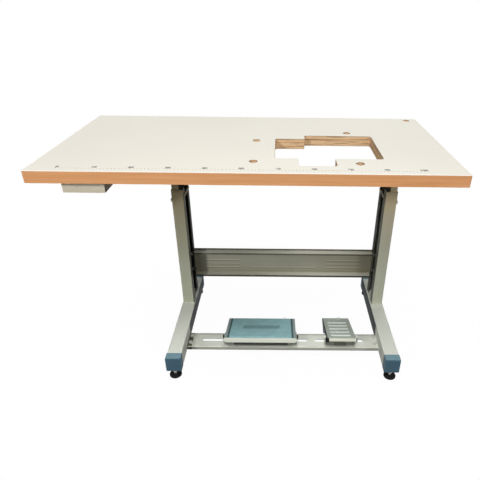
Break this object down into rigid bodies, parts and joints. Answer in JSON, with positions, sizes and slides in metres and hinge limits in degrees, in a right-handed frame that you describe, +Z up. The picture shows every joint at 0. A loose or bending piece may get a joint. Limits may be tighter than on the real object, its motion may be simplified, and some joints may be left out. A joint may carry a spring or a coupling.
{
  "type": "sewing machine table",
  "caption": "Industrial sewing machine table: laminated top with machine cut-out and drawer on a height-adjustable steel stand with treadle and lifting pedal",
  "frame": {"origin": "on the floor under the middle of the table top", "axes": "+X to the user's right, +Y away from the user, +Z up"},
  "size_m": [1.2, 0.6, 0.76],
  "materials": {
    "white_laminate": "fine satin",
    "backing_laminate": "matt",
    "plywood": "cut edges, unfinished",
    "edge_band": "satin, wood coloured",
    "stand_paint": "fine powder coat",
    "pedal_paint": "powder coat, worn",
    "zinc_steel": "zinc plated",
    "cap_plastic": "moulded, satin",
    "mat_rubber": "moulded, matt",
    "black_rubber": "matt",
    "black_plastic": "moulded",
    "drawer_plastic": "moulded, satin"
  },
  "bodies": {
    "stand": {"left_foot": "stand_paint", "right_foot": "stand_paint", "left_column": "stand_paint", "right_column": "stand_paint", "column_straps": "stand_paint", "front_left_cap": "cap_plastic", "front_right_cap": "cap_plastic", "rear_left_cap": "cap_plastic", "rear_right_cap": "cap_plastic", "glide_bushes": "zinc_steel", "glide_nuts": "zinc_steel", "cross_brace": "stand_paint", "brace_bolts": "zinc_steel", "brace_nuts": "zinc_steel", "clamp_bolts": "zinc_steel", "clamp_washers": "zinc_steel", "clamp_nuts": "zinc_steel", "pedal_bar": "stand_paint", "bar_shelves": "stand_paint", "bar_bolts": "zinc_steel", "bar_nuts": "zinc_steel"},
    "top_unit": {"tabletop_core": "plywood", "top_laminate": "white_laminate", "bottom_laminate": "backing_laminate", "edge_band": "edge_band", "left_table_bracket": "stand_paint", "right_table_bracket": "stand_paint", "left_inner_post": "stand_paint", "right_inner_post": "stand_paint", "bracket_screws": "zinc_steel", "left_drawer_rail": "zinc_steel", "right_drawer_rail": "zinc_steel", "rail_screws": "zinc_steel"},
    "drawer": {"drawer_box": "drawer_plastic"},
    "treadle_mount": {"treadle_left_bracket": "pedal_paint", "treadle_right_bracket": "pedal_paint", "treadle_bolts": "zinc_steel", "treadle_nuts": "zinc_steel", "treadle_pivots": "zinc_steel"},
    "treadle": {"treadle_frame": "stand_paint", "treadle_mat": "mat_rubber", "treadle_rod_stud": "zinc_steel"},
    "lift_mount": {"lift_left_bracket": "pedal_paint", "lift_right_bracket": "pedal_paint", "lift_bolts": "zinc_steel", "lift_nuts": "zinc_steel", "lift_pivots": "zinc_steel"},
    "lifting_pedal": {"lift_pedal": "pedal_paint", "lift_end_plugs": "black_plastic", "lift_chain_stud": "zinc_steel"},
    "glide_front_left": {"front_left_stud": "zinc_steel", "front_left_pad": "black_rubber"},
    "glide_front_right": {"front_right_stud": "zinc_steel", "front_right_pad": "black_rubber"},
    "glide_rear_left": {"rear_left_stud": "zinc_steel", "rear_left_pad": "black_rubber"},
    "glide_rear_right": {"rear_right_stud": "zinc_steel", "rear_right_pad": "black_rubber"}
  },
  "joints": [
    {"name": "table_height", "type": "slide", "parent": "stand", "child": "top_unit", "axis": [0, 0, 1], "range_m": [-0.04, 0.1]},
    {"name": "drawer_slide", "type": "slide", "parent": "top_unit", "child": "drawer", "axis": [0, -1, 0], "range_m": [0, 0.25]},
    {"name": "treadle_shift", "type": "slide", "parent": "stand", "child": "treadle_mount", "axis": [1, 0, 0], "range_m": [-0.1, 0.05]},
    {"name": "treadle_tilt", "type": "hinge", "parent": "treadle_mount", "child": "treadle", "pos_m": [0.022, -0.165, 0.08], "axis": [1, 0, 0], "range_deg": [0, 30]},
    {"name": "lift_shift", "type": "slide", "parent": "stand", "child": "lift_mount", "axis": [1, 0, 0], "range_m": [-0.04, 0.04]},
    {"name": "lift_tilt", "type": "hinge", "parent": "lift_mount", "child": "lifting_pedal", "pos_m": [0.313, -0.165, 0.08], "axis": [1, 0, 0], "range_deg": [0, 25]},
    {"name": "glide_front_left_screw", "type": "slide", "parent": "stand", "child": "glide_front_left", "axis": [0, 0, 1], "range_m": [-0.01, 0.01]},
    {"name": "glide_front_right_screw", "type": "slide", "parent": "stand", "child": "glide_front_right", "axis": [0, 0, 1], "range_m": [-0.01, 0.01]},
    {"name": "glide_rear_left_screw", "type": "slide", "parent": "stand", "child": "glide_rear_left", "axis": [0, 0, 1], "range_m": [-0.01, 0.01]},
    {"name": "glide_rear_right_screw", "type": "slide", "parent": "stand", "child": "glide_rear_right", "axis": [0, 0, 1], "range_m": [-0.01, 0.01]}
  ]
}
